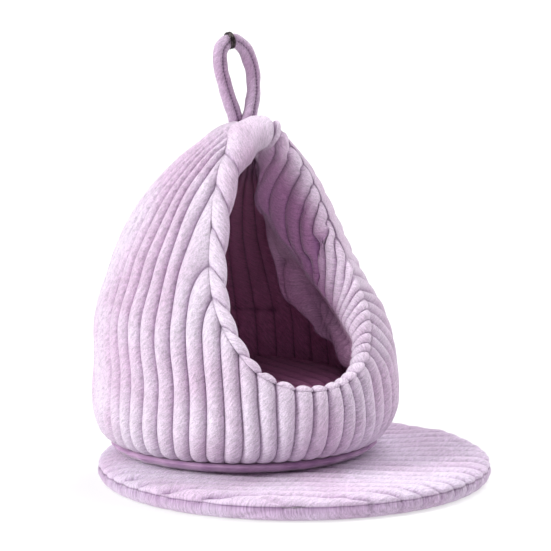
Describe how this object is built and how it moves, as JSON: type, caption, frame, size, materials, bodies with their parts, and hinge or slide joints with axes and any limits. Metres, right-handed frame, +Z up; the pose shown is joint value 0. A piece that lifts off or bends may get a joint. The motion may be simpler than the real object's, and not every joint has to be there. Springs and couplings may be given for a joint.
{
  "type": "bird snuggle hut with mat",
  "caption": "Teardrop pet hut of wide-ribbed lilac plush with an egg-shaped padded mouth, a hanging loop with a small ring and a round ribbed mat under it.",
  "frame": {"origin": "centre of the mat's underside, on the surface it rests on", "axes": "+Z up; the mouth of the hut faces -Y; +X to the right of someone who looks into the mouth from the front"},
  "size_m": [0.2352, 0.2352, 0.2688],
  "materials": {
    "plush": "wide-ribbed short-pile plush, lilac, matt with a velvet sheen",
    "inside": "the same ribbed plush inside the hut, in shade",
    "band": "smooth short-pile plush, darker mauve",
    "steel": "dark gunmetal wire, satin"
  },
  "bodies": {
    "root": {"cover": "plush", "mouth_roll": "plush", "lining": "inside", "floor_pad": "inside", "base_band": "band", "hanging_loop": "plush", "loop_ring": "steel", "mat": "plush"}
  },
  "joints": []
}
